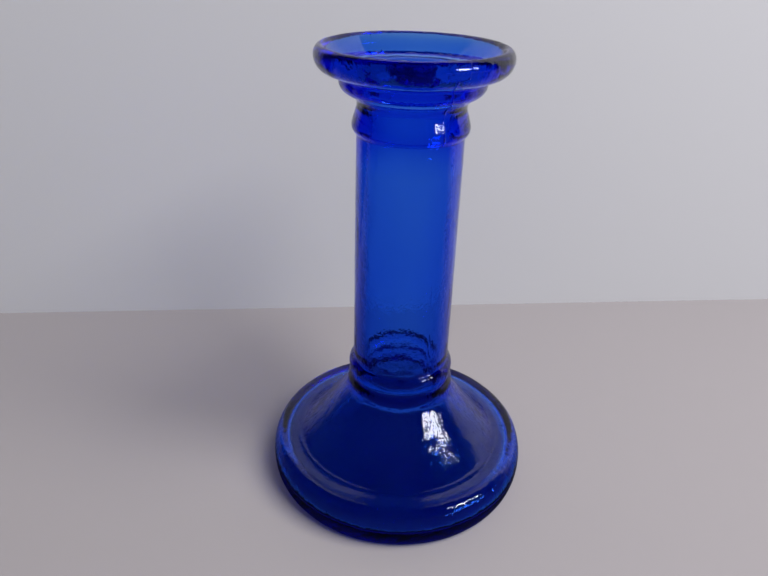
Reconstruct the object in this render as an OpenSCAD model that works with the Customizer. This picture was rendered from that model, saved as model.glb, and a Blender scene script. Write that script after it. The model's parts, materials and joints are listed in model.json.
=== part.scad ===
// Hollow glass candlestick, one casting of cobalt blue glass.
// The casting is divided at its own form lines into rim, neck, shaft, collar, foot and base.
// The sections meet face to face. Origin at the centre of the foot's underside, +Z up.

/* [Overall] */
// Height from the table to the top of the rim
height = 190; // [160:1:230]

/* [Rim] */
// Outside diameter of the rolled rim
rim_d = 71.5; // [69:0.5:78]
// Inside diameter of the mouth, just below the top of the rim
mouth_d = 64; // [62:0.2:64.6]
// Height of the rim above the step ring
rim_h = 10.6; // [10:0.2:11.4]
// Depth of the dish, from the top of the rim down to the candle seat
dish_depth = 8; // [7:0.1:8.6]
// Slope of the dish's wall, in degrees from level
dish_slope = 50; // [48:1:66]

/* [Neck] */
// Outside diameter of the step ring under the rim
step_d = 54.3; // [52:0.1:56]
// Smallest outside diameter, above the knop
neck_d = 40.6; // [39.4:0.1:42]
// Outside diameter of the knop, the bulge below the neck
knop_d = 44.4; // [43.2:0.1:46]
// Diameter of the hollow just below the candle seat
cup_d = 38; // [34:0.2:40]
// Diameter of the throat, the narrowest part of the hollow
throat_d = 29.2; // [27:0.2:31]

/* [Shaft] */
// Outside diameter of the shaft at its top
shaft_top_d = 40.8; // [39.4:0.1:41.4]
// Outside diameter of the shaft at its foot
shaft_low_d = 41.6; // [40.8:0.1:42.2]
// Diameter of the bore inside the shaft
bore_d = 33.2; // [31.2:0.2:34]

/* [Collar] */
// Outside diameter of the collar's upper ring
collar_d = 45.4; // [44.6:0.1:45.8]
// Outside diameter of the collar's lower ring
low_ring_d = 46.5; // [46:0.1:47.6]

/* [Foot] */
// Outside diameter of the foot
foot_d = 115.4; // [110:0.2:124]
// Height of the rolled edge of the foot
roll_h = 20.2; // [18.6:0.2:21]
// Diameter of the raised ridge around the lower edge of the cone
ridge_d = 91.2; // [86:0.2:92]
// Thickness of the cone's wall
cone_wall = 4.4; // [3.6:0.1:5.2]
// Thickness of the floor inside the foot
floor_t = 6.2; // [5:0.1:7.2]
// Rise of the hollow under the floor, at its centre
push_up = 2.4; // [1:0.1:3.4]

/* [Hidden] */

cobalt = [0.05, 0.13, 0.62];

bore_r = bore_d / 2;
throat_r = throat_d / 2;
shaft_low_r = shaft_low_d / 2;
shaft_top_r = shaft_top_d / 2;

// The collar's upper ring is part of an ellipse that ends in a shoulder against the shaft
ring_mid_z = 56.6;
ring_size = [2.2, 3.8];
ring_centre_r = collar_d / 2 - ring_size[0];
shoulder = acos((shaft_low_r - ring_centre_r) / ring_size[0]);

// The cone of the foot: its upper end, the ridge at its lower end, and its slope
cone_top = [low_ring_d / 2 + 0.5, 44.5];
ridge = [ridge_d / 2, 19.7];
ridge_size = 0.9;
cone_sag = 1.8;
slope = atan2(cone_top[1] - ridge[1], ridge[0] - cone_top[0]);

// Levels where one section ends and the next begins
collar_top_z = ring_mid_z + ring_size[1] * sin(shoulder);
neck_top_z = height - rim_h;
neck_low_z = neck_top_z - 20.4;

// The level of the candle seat, and the levels where the throat widens above and below
seat_z = height - dish_depth;
throat_top_z = neck_low_z + 11;
throat_low_z = neck_low_z - 13;

// The hollow leaves the bore here and widens into the foot
flare_z = 59;
hollow_top_r = cone_top[0] - cone_wall / sin(slope);

// Radius of the floor disc, just inside the ring that the foot stands on
base_r = 44;

// Points along part of an ellipse about c, from angle a to angle b
function arc(c, r, a, b, n = 8) =
    [for (i = [0:n]) let (t = a + (b - a) * i / n) [c[0] + r[0] * cos(t), c[1] + r[1] * sin(t)]];

// Points between p and q along a smooth dip of the given depth
function dip(p, q, depth, n = 8) =
    [for (i = [1:n - 1]) let (t = i / n) p + (q - p) * t - [0, depth * (1 - cos(360 * t)) / 2]];

// Points between p and q along an evenly curved sag of the given depth
function sag(p, q, depth, n = 10) =
    [for (i = [1:n - 1]) let (t = i / n) p + (q - p) * t - [0, 4 * depth * t * (1 - t)]];

// Height at fraction t of the floor's radius, above its level at the outside
function dome(t) = push_up * (1 + cos(180 * t)) / 2;

// One section of the casting: its outside from low to high, then its inside from high to low
module section(outside, inside) {
    rotate_extrude($fn = 160) polygon(concat(outside, inside));
}

// Rolled rim with the dish inside it, and the candle seat, the level floor of the dish
module rim() {
    mid_z = height - 3.7;
    under = [6.15, 6];
    upper = [2.55, 3.7];
    lip = 1.4;
    fillet = 5;
    edge = 1.5;
    wall_drop = dish_depth - lip * (1 - cos(dish_slope)) - fillet * (1 - cos(dish_slope));
    dish_r = mouth_d / 2 - wall_drop / tan(dish_slope) - fillet * sin(dish_slope);
    outside = concat(
        [[step_d / 2, neck_top_z]],
        arc([rim_d / 2 - under[0], mid_z], under, -90, 0, 9),
        arc([rim_d / 2 - upper[0], mid_z], upper, 13, 90, 6));
    inside = concat(
        arc([mouth_d / 2 + lip * sin(dish_slope), height - lip], [lip, lip], 90, 90 + dish_slope, 4),
        arc([dish_r, seat_z + fillet], [fillet, fillet], dish_slope - 90, -90, 7),
        arc([cup_d / 2 + edge, seat_z - edge], [edge, edge], 90, 180, 4),
        [[cup_d / 2, neck_top_z]]);
    color(cobalt) section(outside, inside);
}

// Step ring, hollow-curved neck and knop, with the throat inside
module neck() {
    knop = [knop_d / 2 - shaft_top_r, 2.9];
    cove = [4, 4.3];
    step = [5.15, 5];
    outside = concat(
        arc([shaft_top_r, neck_low_z + knop[1]], knop, -90, 35, 9),
        arc([neck_d / 2 + cove[0], neck_low_z + 9.8], cove, 180, 112, 6),
        arc([step_d / 2 - step[0], neck_top_z - 1.4], step, -72, 0, 8),
        [[step_d / 2, neck_top_z]]);
    inside = [
        [cup_d / 2, neck_top_z], [cup_d / 2 - 0.8, neck_top_z - 4],
        [throat_r, throat_top_z], [throat_r, neck_low_z]];
    color(cobalt) section(outside, inside);
}

// Straight hollow shaft, a little wider at its foot. Below the throat the hollow widens into the bore.
module shaft() {
    color(cobalt) section(
        [[shaft_low_r, collar_top_z], [shaft_top_r, neck_low_z]],
        [[throat_r, neck_low_z], [bore_r, throat_low_z], [bore_r, collar_top_z]]);
}

// Double ring at the foot of the shaft, with a groove between the rings
module collar() {
    low_ring = [3.05, 4.2];
    low_ring_z = 48.2;
    groove = [min(collar_d, low_ring_d) / 2 - 0.8, 53.7];
    outside = concat(
        [cone_top, [low_ring_d / 2 + 0.06, low_ring_z - 2]],
        arc([low_ring_d / 2 - low_ring[0], low_ring_z], low_ring, -5, 52, 7),
        [groove],
        arc([ring_centre_r, ring_mid_z], ring_size, -46, shoulder, 12));
    inside = [[bore_r, collar_top_z], [bore_r, flare_z], [hollow_top_r, cone_top[1]]];
    color(cobalt) section(outside, inside);
}

// Cone, ridge, groove and rolled edge, with the hollow inside them
module foot() {
    roll = [4.6, roll_h / 2];
    roll_r = foot_d / 2 - roll[0];
    hollow_r = roll_r - 3.2;
    outside = concat(
        [[base_r, 0]],
        arc([roll_r, roll_h / 2], roll, -90, 90, 16),
        dip([roll_r, roll_h], ridge + [ridge_size, 0], 0.8),
        arc(ridge, [ridge_size, ridge_size], 0, 130, 6),
        sag(ridge + ridge_size * [cos(130), sin(130)], cone_top, cone_sag),
        [cone_top]);
    hollow_top = [hollow_top_r, cone_top[1]];
    hollow_low = ridge - (cone_wall - ridge_size) * [sin(slope), cos(slope)];
    inside = concat(
        [hollow_top],
        sag(hollow_top, hollow_low, cone_sag),
        [hollow_low],
        arc([hollow_r, roll_h / 2 + 0.5], [4.6, roll_h / 2 - 4.1], 90, 0, 7),
        arc([hollow_r, floor_t + 4], [4.6, 4], 0, -90, 6),
        [[base_r, floor_t]]);
    color(cobalt) section(outside, inside);
}

// Floor of the foot, domed upwards so that the foot stands on a ring
module base() {
    steps = 8;
    underside = [for (i = [0:steps]) [base_r * i / steps, dome(i / steps)]];
    top = [for (i = [steps:-1:0]) [base_r * i / steps, floor_t + dome(i / steps)]];
    color(cobalt) section(underside, top);
}

rim();
neck();
shaft();
collar();
foot();
base();
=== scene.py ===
"""Cobalt blue glass candlestick: its looks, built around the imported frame.

The CAD's six sections are one casting of glass, so one closed glass mesh stands for all of them.
Lengths are in millimetres in this script until a mesh is made, and angles are in degrees.
Azimuth 0 is the front, towards -Y, and it grows towards +X.
"""
import json
import math

import bpy
import numpy as np
from mathutils import Matrix, Vector, noise


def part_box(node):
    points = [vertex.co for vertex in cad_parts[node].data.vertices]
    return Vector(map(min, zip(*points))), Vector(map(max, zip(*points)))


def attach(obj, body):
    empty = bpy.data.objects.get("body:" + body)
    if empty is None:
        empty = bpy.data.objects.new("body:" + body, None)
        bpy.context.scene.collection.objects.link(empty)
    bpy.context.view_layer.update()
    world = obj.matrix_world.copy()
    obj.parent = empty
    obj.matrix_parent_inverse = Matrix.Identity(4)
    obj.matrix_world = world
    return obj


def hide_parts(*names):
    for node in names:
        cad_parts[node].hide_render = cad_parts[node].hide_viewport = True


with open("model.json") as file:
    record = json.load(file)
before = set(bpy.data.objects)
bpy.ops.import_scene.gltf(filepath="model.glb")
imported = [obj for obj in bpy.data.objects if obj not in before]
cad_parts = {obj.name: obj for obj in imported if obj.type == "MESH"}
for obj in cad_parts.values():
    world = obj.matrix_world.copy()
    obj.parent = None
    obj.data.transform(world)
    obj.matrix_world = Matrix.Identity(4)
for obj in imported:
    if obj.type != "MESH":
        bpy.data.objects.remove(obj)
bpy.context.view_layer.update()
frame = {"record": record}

MM = 0.001

# ---------------------------------------------------------------- sizes taken from the frame


def node_size(node):
    """Outer radius, lowest level and highest level of a CAD node."""
    low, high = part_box(node)
    return high.x / MM, low.z / MM, high.z / MM


mounts = {mount["name"]: mount for mount in frame["record"]["mounts"]}
rim_r, neck_top, top = node_size("rim")
step_r, neck_low, _ = node_size("neck")
shaft_low_r = node_size("shaft")[0]
cone_r, cone_top, _ = node_size("collar")
foot_r = node_size("foot")[0]
base_r, _, floor_middle = node_size("base")
seat = mounts["candle_seat"]["pos_m"][2] / MM
throat_r = mounts["candle_throat"]["dims"]["r_mm"]

# ---------------------------------------------------------------- the outline of the glass

MOUTH_R = 32.0          # inside of the mouth, just below the lip
DISH_SLOPE = 50         # slope of the dish's wall
CUP_R = 19.0            # hollow just below the candle seat
BORE_R = 16.6           # hollow of the shaft
NECK_R = 20.3           # the neck where it is slimmest
KNOP_R = 22.2
SHAFT_TOP_R = 20.4
COLLAR_R = 22.7         # upper ring of the collar
LOW_RING_R = 23.25      # lower ring of the collar
RIDGE = (45.6, 19.7)    # centre of the rounded ridge below the cone: radius and level
RIDGE_SIZE = 0.9
ROLL_W = 4.6            # how far the roll of the foot bulges outwards
ROLL_TOP = 20.2
ROLL_WALL = 3.2
FLOOR_T = 6.2
CONE_WALL = 4.4
CONE_SAG = 1.8          # how far the cone sags below a straight line
FLARE_Z = 59            # level below which the bore widens into the foot


def arc(centre, size, start, end, step=5):
    """Points along part of an ellipse, from one angle to another."""
    count = max(2, round(abs(end - start) / step))
    angles = np.radians(np.linspace(start, end, count + 1))
    return [(centre[0] + size[0] * math.cos(t), centre[1] + size[1] * math.sin(t)) for t in angles]


def dip(start, end, depth, count=10):
    """Points along a smooth dip between two points."""
    points = []
    for t in np.linspace(0, 1, count + 1)[1:-1]:
        down = depth * (1 - math.cos(2 * math.pi * t)) / 2
        points.append((start[0] + (end[0] - start[0]) * t, start[1] + (end[1] - start[1]) * t - down))
    return points


def sag(start, end, depth, count=16):
    """Points along an evenly curved sag between two points."""
    points = []
    for t in np.linspace(0, 1, count + 1)[1:-1]:
        down = 4 * depth * t * (1 - t)
        points.append((start[0] + (end[0] - start[0]) * t, start[1] + (end[1] - start[1]) * t - down))
    return points


def dome(level, outer_r, count=12):
    """Points from the axis outwards over the pushed-up floor, whose edge is at the level."""
    rise = floor_middle - FLOOR_T
    places = np.linspace(0, 1, count + 1)
    return [(outer_r * t, level + rise * (1 + math.cos(math.pi * t)) / 2) for t in places]


def outside():
    """The outline that the mould gave: from the middle of the underside out, up and over to the lip."""
    roll = (ROLL_W, ROLL_TOP / 2)
    roll_r = foot_r - ROLL_W
    crest = arc(RIDGE, (RIDGE_SIZE, RIDGE_SIZE), 0, 130, 15)
    low_ring, low_ring_mid = (3.05, 4.2), 48.2
    groove = (COLLAR_R - 0.8, 53.7)
    ring, ring_mid = (2.2, 3.8), 56.6
    shoulder = math.degrees(math.acos((shaft_low_r - COLLAR_R + ring[0]) / ring[0]))
    knop = (KNOP_R - SHAFT_TOP_R, 2.9)
    cove, cove_mid = (4, 4.3), neck_low + 9.8
    step = (5.15, 5)
    under = (6.15, 6.0)
    upper = (2.55, 3.7)
    return (
        dome(0, base_r)
        + arc((roll_r, roll[1]), roll, -90, 90)
        + dip((roll_r, ROLL_TOP), crest[0], 0.8)
        + crest
        + sag(crest[-1], (cone_r, cone_top), CONE_SAG)
        + [(cone_r, cone_top), (LOW_RING_R + 0.06, low_ring_mid - 2)]
        + arc((LOW_RING_R - low_ring[0], low_ring_mid), low_ring, -5, 52)
        + [groove]
        + arc((COLLAR_R - ring[0], ring_mid), ring, -46, shoulder)
        + [(SHAFT_TOP_R, neck_low)]
        + arc((SHAFT_TOP_R, neck_low + knop[1]), knop, -90, 35)
        + arc((NECK_R + cove[0], cove_mid), cove, 180, 112)
        + arc((step_r - step[0], neck_top - 1.4), step, -72, 0)
        + [(step_r, neck_top)]
        + arc((rim_r - under[0], top - upper[1]), under, -90, 0)
        + arc((rim_r - upper[0], top - upper[1]), upper, 13, 90)
    )


def inside():
    """The outline of the hollow: from the lip down the dish and the bore to the middle of the floor."""
    slope = math.atan2(cone_top - RIDGE[1], RIDGE[0] - cone_r)
    hollow_r = foot_r - ROLL_W - ROLL_WALL
    lip, fillet, edge = 1.4, 5, 1.5
    lean = math.radians(DISH_SLOPE)
    drop = top - seat - (lip + fillet) * (1 - math.cos(lean))
    dish_r = MOUTH_R - drop / math.tan(lean) - fillet * math.sin(lean)
    cone_high = (cone_r - CONE_WALL / math.sin(slope), cone_top)
    inset = CONE_WALL - RIDGE_SIZE
    cone_low = (RIDGE[0] - inset * math.sin(slope), RIDGE[1] - inset * math.cos(slope))
    throat_top, throat_low = neck_low + 11, neck_low - 13
    low_fillet = 4
    return (
        arc((MOUTH_R + lip * math.sin(lean), top - lip), (lip, lip), 90, 90 + DISH_SLOPE, 15)
        + arc((dish_r, seat + fillet), (fillet, fillet), DISH_SLOPE - 90, -90, 10)
        + arc((CUP_R + edge, seat - edge), (edge, edge), 90, 180, 15)
        + [(CUP_R, neck_top), (CUP_R - 0.8, neck_top - 4)]
        + [(throat_r, throat_top), (throat_r, neck_low), (BORE_R, throat_low)]
        + [(BORE_R, FLARE_Z), cone_high]
        + sag(cone_high, cone_low, CONE_SAG)
        + [cone_low]
        + arc((hollow_r, ROLL_TOP / 2 + 0.5), (ROLL_W, ROLL_TOP / 2 - 4.1), 90, 0, 10)
        + arc((hollow_r, FLOOR_T + low_fillet), (ROLL_W, low_fillet), 0, -90, 10)
        + list(reversed(dome(FLOOR_T, base_r)))
    )


SOFTENING = 0.45    # how far the hot glass rounded every corner
FINE = 0.1          # spacing of the points that the outline is rounded with


def rounded(points):
    """The outline with evenly spaced points and softened corners. It starts and ends on the axis."""
    points = np.array(points, float)
    lengths = np.hypot(*np.diff(points, axis=0).T)
    along = np.concatenate([[0], np.cumsum(lengths)])
    even = np.linspace(0, along[-1], round(along[-1] / FINE) + 1)
    line = np.stack([np.interp(even, along, points[:, k]) for k in (0, 1)], axis=1)
    reach = round(3 * SOFTENING / FINE)
    mirror = np.array([-1, 1])
    padded = np.concatenate([line[reach:0:-1] * mirror, line, line[-2:-reach - 2:-1] * mirror])
    weights = np.exp(-0.5 * (np.arange(-reach, reach + 1) * FINE / SOFTENING) ** 2)
    weights /= weights.sum()
    return np.stack([np.convolve(padded[:, k], weights, "valid") for k in (0, 1)], axis=1)


def thinned(line, widest=1.5, narrowest=0.5, turn=0.16):
    """Fewer points: close together where the outline bends, further apart where it runs straight."""
    tangent = np.gradient(line, axis=0)
    heading = np.unwrap(np.arctan2(tangent[:, 1], tangent[:, 0]))
    bend = np.abs(np.gradient(heading)) / FINE
    calm = np.convolve(bend, np.ones(9) / 9, "same")
    spacing = np.clip(turn / np.maximum(calm, 1e-6), narrowest, widest)
    spacing = np.convolve(np.pad(spacing, 10, "edge"), np.ones(21) / 21, "valid")
    count = np.concatenate([[0], np.cumsum(FINE / spacing[1:])])
    picks = np.interp(np.linspace(0, count[-1], round(count[-1]) + 1), count, np.arange(len(line)))
    return np.stack([np.interp(picks, np.arange(len(line)), line[:, k]) for k in (0, 1)], axis=1)


# ---------------------------------------------------------------- the mesh

COLUMNS = 216           # evenly spread columns of vertices round the axis
SEAM_COLUMNS = 8        # how much denser they stand at a mould seam
SEAM_SPREAD = 0.9
SEAMS = (31.0, 211.0)   # azimuths of the two mould seams
FIN_HEIGHT = 0.22       # how proud the fin at a seam stands on the rim and neck
FIN_WIDTH = 0.3
FIN_REACH = 2           # distance from a seam beyond which nothing is left of its fin
CHILL_Z = 57            # level in the bore where the glass wrinkled as it chilled


def azimuths():
    """Azimuths of the columns, closer together at the mould seams."""
    fine = np.linspace(0, 360, 7201)
    density = np.full(fine.shape, COLUMNS / 360)
    for seam in SEAMS:
        away = (fine - seam + 180) % 360 - 180
        density += COLUMNS / 360 * SEAM_COLUMNS * np.exp(-(away / SEAM_SPREAD) ** 2)
    count = np.concatenate([[0], np.cumsum(density[1:] * (fine[1] - fine[0]))])
    total = round(count[-1])
    return np.interp(np.arange(total) * count[-1] / total, count, fine)


def wave(x, y, z, seed):
    """Smooth noise from about -1 to 1."""
    return noise.noise(Vector((x + 13.7 * seed, y - 7.1 * seed, z + 3.3 * seed)))


def waves(kinds, x, y, z):
    """Several kinds of wave together: each has a height, a size across, a size up and down and a seed."""
    return sum(tall * wave(x / across, y / across, z / along, seed) for tall, across, along, seed in kinds)


# Slow swelling, marks that the mould dragged down the glass, and orange peel
OUTER_WAVES = ((0.10, 24, 40, 1), (0.045, 3.2, 18, 2), (0.03, 4.5, 4.5, 4))
INNER_WAVES = ((0.28, 14, 34, 6), (0.10, 5, 16, 7), (0.05, 4, 4, 8))


def seam_shift(z):
    """How far, in degrees, the two halves of the mould let the seam wander at this level."""
    jog_under_rim = -6 if abs(z - (top - 8)) < 2 else 0
    jog_below_step = 2 if z < neck_low + 15 else 0
    return jog_under_rim + 2.5 * wave(0, 0, z / 9, 3) + jog_below_step


def seam_height(azimuth, r, z):
    """Height of the thin fin that the mould seam leaves on the outside."""
    total = 0
    for number, seam in enumerate(SEAMS):
        away = math.radians((azimuth - seam + 180) % 360 - 180) * r
        if abs(away) > FIN_REACH:
            continue
        worn = 0.5 + 0.5 * wave(number, 0, z / 5, 5)
        lower = 0.55 if z < neck_low else 1
        total += FIN_HEIGHT * lower * worn * math.exp(-(away / FIN_WIDTH) ** 2)
    return total


def outside_relief(azimuth, r, z):
    """How far the outer skin stands proud of the outline."""
    x, y = r * math.sin(math.radians(azimuth)), -r * math.cos(math.radians(azimuth))
    return waves(OUTER_WAVES, x, y, z) + seam_height(azimuth, r, z)


def inside_relief(azimuth, r, z):
    """How far the inner skin stands proud of the outline. It is the wavier of the two.

    The glass wrinkled where it chilled low in the bore, and folded where the dish was pressed.
    """
    x, y = r * math.sin(math.radians(azimuth)), -r * math.cos(math.radians(azimuth))
    chill = math.exp(-((z - CHILL_Z) / 9) ** 2) if r < 25 else 0
    wrinkle = 0.45 * chill * wave(x / 6, y / 6, z / 3, 9)
    pressed = math.exp(-((z - seat - 1.6) / 1.6) ** 2) if CUP_R < r < MOUTH_R else 0
    fold = 0.30 * pressed * wave(x / 3, y / 3, z / 3, 10)
    return waves(INNER_WAVES, x, y, z) + wrinkle + fold


def glass_vertices():
    """Vertices of the casting, ring by ring, with one on the axis at each end."""
    line = thinned(rounded(outside() + inside()))
    lip = int(np.argmax(line[:, 1] + line[:, 0] * 0.01))
    tangent = np.gradient(line, axis=0)
    normal = np.stack([tangent[:, 1], -tangent[:, 0]], axis=1)
    normal /= np.hypot(*normal.T)[:, None]
    angles = azimuths()
    vertices = [(0, 0, line[0][1])]
    for index in range(1, len(line) - 1):
        r, z = line[index]
        relief = outside_relief if index < lip else inside_relief
        fade = min(1, r / 6)
        shift = seam_shift(z) if index < lip else 0
        for azimuth in angles:
            near = min(abs((azimuth - seam + 180) % 360 - 180) for seam in SEAMS)
            follow = math.cos(math.radians(min(near, 30) * 3)) ** 2
            turned = azimuth + shift * follow
            proud = fade * relief(azimuth, r, z)
            radius, level = r + normal[index][0] * proud, z + normal[index][1] * proud
            # Nothing stands past the CAD's box
            radius, level = min(radius, foot_r), min(max(level, 0), top)
            a = math.radians(turned)
            vertices.append((radius * math.sin(a), -radius * math.cos(a), level))
    vertices.append((0, 0, line[-1][1]))
    return vertices, len(angles), len(line) - 2


def skin_faces(columns, rings):
    """Quads between neighbouring rings, and a fan of triangles at each end."""
    last = rings * columns + 1
    faces = []
    for k in range(columns):
        n = (k + 1) % columns
        faces.append((0, 1 + n, 1 + k))
        faces.append((last, last - columns + k, last - columns + n))
        for ring in range(rings - 1):
            low, high = 1 + ring * columns, 1 + (ring + 1) * columns
            faces.append((low + k, low + n, high + n, high + k))
    return faces


def make_glass():
    vertices, columns, rings = glass_vertices()
    faces = skin_faces(columns, rings)
    mesh = bpy.data.meshes.new("candlestick_glass")
    mesh.from_pydata([Vector(v) * MM for v in vertices], [], faces)
    mesh.polygons.foreach_set("use_smooth", [True] * len(mesh.polygons))
    mesh.update()
    glass = bpy.data.objects.new("candlestick_glass", mesh)
    bpy.context.scene.collection.objects.link(glass)
    return glass


# ---------------------------------------------------------------- materials


def new_material(name):
    material = bpy.data.materials.new(name)
    material.use_nodes = True
    tree = material.node_tree
    tree.nodes.clear()
    return material, tree, tree.nodes.new("ShaderNodeOutputMaterial")


def see_through(tree, out, surface, share, colour=(1, 1, 1, 1)):
    """Mix the surface with a clear one. The share is the socket that says how much of it is clear."""
    clear = tree.nodes.new("ShaderNodeBsdfTransparent")
    clear.inputs["Color"].default_value = colour
    mix = tree.nodes.new("ShaderNodeMixShader")
    tree.links.new(share, mix.inputs["Fac"])
    tree.links.new(surface.outputs["BSDF"], mix.inputs[1])
    tree.links.new(clear.outputs["BSDF"], mix.inputs[2])
    tree.links.new(mix.outputs["Shader"], out.inputs["Surface"])


def noise_node(tree, vector, scale, detail):
    grain = tree.nodes.new("ShaderNodeTexNoise")
    grain.inputs["Scale"].default_value = scale
    grain.inputs["Detail"].default_value = detail
    tree.links.new(vector, grain.inputs["Vector"])
    return grain


def fine_grain(tree, place):
    """The faint pebbling of the whole skin."""
    grain = noise_node(tree, place.outputs["Object"], 700, 2)
    bump = tree.nodes.new("ShaderNodeBump")
    bump.inputs["Strength"].default_value = 0.4
    bump.inputs["Distance"].default_value = 0.00015
    tree.links.new(grain.outputs["Fac"], bump.inputs["Height"])
    return bump


def drag_marks(tree, place, skin):
    """Marks that run down the glass on top of the skin's grain, deeper towards the foot."""
    link = tree.links.new
    stretch = tree.nodes.new("ShaderNodeMapping")
    stretch.inputs["Scale"].default_value = (1, 1, 0.3)
    link(place.outputs["Object"], stretch.inputs["Vector"])
    marks = noise_node(tree, stretch.outputs["Vector"], 300, 3)
    split = tree.nodes.new("ShaderNodeSeparateXYZ")
    link(place.outputs["Object"], split.inputs["Vector"])
    depth = tree.nodes.new("ShaderNodeMapRange")
    for name, value in (("From Min", 0.045), ("From Max", 0.075), ("To Min", 0.75), ("To Max", 0.2)):
        depth.inputs[name].default_value = value
    link(split.outputs["Z"], depth.inputs["Value"])
    drag = tree.nodes.new("ShaderNodeBump")
    drag.inputs["Distance"].default_value = 0.0005
    link(depth.outputs["Result"], drag.inputs["Strength"])
    link(marks.outputs["Fac"], drag.inputs["Height"])
    link(skin.outputs["Normal"], drag.inputs["Normal"])
    return drag


def glass_material():
    """Clear glass whose inside soaks up red and green, so that thick walls look darker."""
    material, tree, out = new_material("cobalt_glass")
    glass = tree.nodes.new("ShaderNodeBsdfPrincipled")
    glass.inputs["Base Color"].default_value = (1, 1, 1, 1)
    glass.inputs["Transmission Weight"].default_value = 1
    glass.inputs["IOR"].default_value = 1.52
    glass.inputs["Roughness"].default_value = 0.03
    place = tree.nodes.new("ShaderNodeTexCoord")
    marks = drag_marks(tree, place, fine_grain(tree, place))
    tree.links.new(marks.outputs["Normal"], glass.inputs["Normal"])

    # The glass lets a part of the light through where it would otherwise cast a black shadow
    path = tree.nodes.new("ShaderNodeLightPath")
    see_through(tree, out, glass, path.outputs["Is Shadow Ray"], (0.42, 0.42, 0.44, 1))

    blue = tree.nodes.new("ShaderNodeVolumeAbsorption")
    blue.inputs["Color"].default_value = (0, 0.5, 0.98, 1)
    blue.inputs["Density"].default_value = 470
    tree.links.new(blue.outputs["Volume"], out.inputs["Volume"])
    return material


def matt_material(name, colour, rough=0.7):
    """A matt material, together with its tree, output and surface."""
    material, tree, out = new_material(name)
    surface = tree.nodes.new("ShaderNodeBsdfPrincipled")
    surface.inputs["Base Color"].default_value = (*colour, 1)
    surface.inputs["Roughness"].default_value = rough
    surface.inputs["Specular IOR Level"].default_value = 0.1
    tree.links.new(surface.outputs["BSDF"], out.inputs["Surface"])
    return material, tree, out, surface


def floor_material():
    return matt_material("floor_laminate", (0.32, 0.295, 0.30), 0.9)[0]


def wall_material():
    """A pale wall that can be seen through from behind, so that it never hides the object."""
    material, tree, out, surface = matt_material("wall_paint", (0.58, 0.58, 0.60))
    side = tree.nodes.new("ShaderNodeNewGeometry")
    see_through(tree, out, surface, side.outputs["Backfacing"])
    return material


def flag_material(name, axis, solid, gone):
    """Painted shade for reflections: a black sheet that fades out along an axis, so that no hard edge
    shows in a reflection.
    """
    material, tree, out, surface = matt_material(name, (0.015, 0.015, 0.017), 1)
    place = tree.nodes.new("ShaderNodeTexCoord")
    split = tree.nodes.new("ShaderNodeSeparateXYZ")
    fade = tree.nodes.new("ShaderNodeMapRange")
    fade.inputs["From Min"].default_value = solid * MM
    fade.inputs["From Max"].default_value = gone * MM
    tree.links.new(place.outputs["Object"], split.inputs["Vector"])
    tree.links.new(split.outputs[axis], fade.inputs["Value"])
    see_through(tree, out, surface, fade.outputs["Result"])
    return material


# ---------------------------------------------------------------- stage, lights and camera

REACH = 1500            # half the length of the wall
FLOOR_REACH = 5000
WALL_HEIGHT = 700


def make_plane(name, corners, material):
    mesh = bpy.data.meshes.new(name)
    mesh.from_pydata([Vector(c) * MM for c in corners], [], [tuple(range(len(corners)))])
    mesh.materials.append(material)
    plane = bpy.data.objects.new(name, mesh)
    bpy.context.scene.collection.objects.link(plane)
    return plane


def wall_line(x, gap=1):
    """Point on the foot of the wall, or a little in front of it."""
    return x, 146.4 + math.tan(math.radians(7.4)) * x - gap


def make_stage():
    under = -0.1        # the floor lies a little below the foot
    floor = [(x * FLOOR_REACH, y * FLOOR_REACH, under) for x, y in ((-1, -1), (1, -1), (1, 1), (-1, 1))]
    make_plane("floor", floor, floor_material())
    left, right = wall_line(-REACH, 0), wall_line(REACH, 0)
    wall = [(*left, under), (*right, under), (*right, WALL_HEIGHT), (*left, WALL_HEIGHT)]
    make_plane("wall", wall, wall_material())


def hide_from(thing, *rays):
    """Leave the thing out of those kinds of ray."""
    for ray in rays:
        setattr(thing, "visible_" + ray, False)


def make_flags():
    """Black cards that only reflections see. They paint shade into the glass's reflections: the dark room
    behind the camera, the floor in front and along the wall.
    """
    low, far_y = -0.05, 140
    # Painted shade seen only in reflections: a black sheet over the floor in front and a black card behind
    # the camera
    reflected_floor_shade = flag_material("reflected_shade_floor", "Y", -20, far_y)
    floor = [(-REACH, -REACH, low), (REACH, -REACH, low), (REACH, far_y, low), (-REACH, far_y, low)]
    back_y, back_right, back_top = -700, 450, 900
    back = [
        (-REACH, back_y, 0), (back_right, back_y, 0),
        (back_right, back_y, back_top), (-REACH, back_y, back_top),
    ]
    # Painted shade seen only in reflections: a black card in front of the left part of the wall
    side_x = -150
    near, far = wall_line(side_x), wall_line(-REACH)
    left = [(*far, 0), (*near, 0), (*near, WALL_HEIGHT), (*far, WALL_HEIGHT)]
    flags = (
        make_plane("flag_low", floor, reflected_floor_shade),
        make_plane("flag_back", back, reflected_floor_shade),
        make_plane("flag_left", left, flag_material("reflected_shade_side", "X", -260, side_x)),
    )
    for flag in flags:
        hide_from(flag, "camera", "diffuse", "transmission", "volume_scatter", "shadow")


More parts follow.
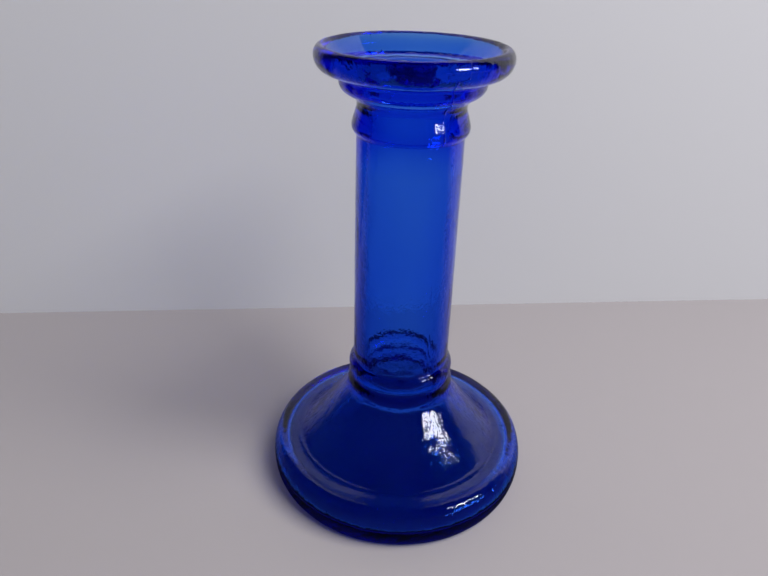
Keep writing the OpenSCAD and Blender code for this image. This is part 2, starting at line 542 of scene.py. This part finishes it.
def aim(thing, place, target):
    thing.location = Vector(place) * MM
    thing.rotation_euler = (Vector(target) - Vector(place)).to_track_quat("-Z", "Y").to_euler()


def make_lamp(name, azimuth, elevation, distance, size, power, colour, target=(0, 0, 90)):
    """A soft rectangular lamp in that direction from the object."""
    lamp = bpy.data.lights.new(name, "AREA")
    lamp.shape = "RECTANGLE"
    lamp.size, lamp.size_y = size[0] * MM, size[1] * MM
    lamp.energy = power
    lamp.color = colour
    holder = bpy.data.objects.new(name, lamp)
    bpy.context.scene.collection.objects.link(holder)
    a, e = math.radians(azimuth), math.radians(elevation)
    away = Vector((math.sin(a) * math.cos(e), -math.cos(a) * math.cos(e), math.sin(e))) * distance
    aim(holder, Vector(target) + away, target)
    return holder


def make_lights():
    window = make_lamp("window", 62, 21, 1600, (660, 240), 13, (0.95, 0.97, 1.0))
    hide_from(window, "diffuse")
    room = make_lamp("room", 60, 52, 1500, (950, 800), 33, (0.97, 0.97, 1.0))
    hide_from(room, "glossy", "transmission", "camera")
    world = bpy.data.worlds.new("room")
    world.use_nodes = True
    world.node_tree.nodes["Background"].inputs["Color"].default_value = (0.2, 0.2, 0.21, 1)
    world.cycles_visibility.glossy = False
    bpy.context.scene.world = world


def make_camera():
    """The camera stands in front of the candlestick and looks down at it."""
    heading, tilt, roll = math.radians(-1.86), math.radians(29.17), math.radians(1.72)
    camera = bpy.data.cameras.new("camera")
    camera.sensor_width = 36
    camera.lens = 31.43
    camera.shift_y = 0.0111
    camera.clip_start = 0.01
    holder = bpy.data.objects.new("camera", camera)
    bpy.context.scene.collection.objects.link(holder)
    turn = (
        Matrix.Rotation(-heading, 4, "Z")
        @ Matrix.Rotation(math.radians(90) - tilt, 4, "X")
        @ Matrix.Rotation(roll, 4, "Z")
    )
    holder.matrix_world = Matrix.Translation(Vector((0, -248.66, 227.02)) * MM) @ turn
    bpy.context.scene.camera = holder


make_camera()
make_stage()
make_flags()
make_lights()
bpy.context.scene.view_settings.view_transform = "Standard"

glass = make_glass()
glass.data.materials.append(glass_material())
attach(glass, "root")
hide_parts("rim", "neck", "shaft", "collar", "foot", "base")
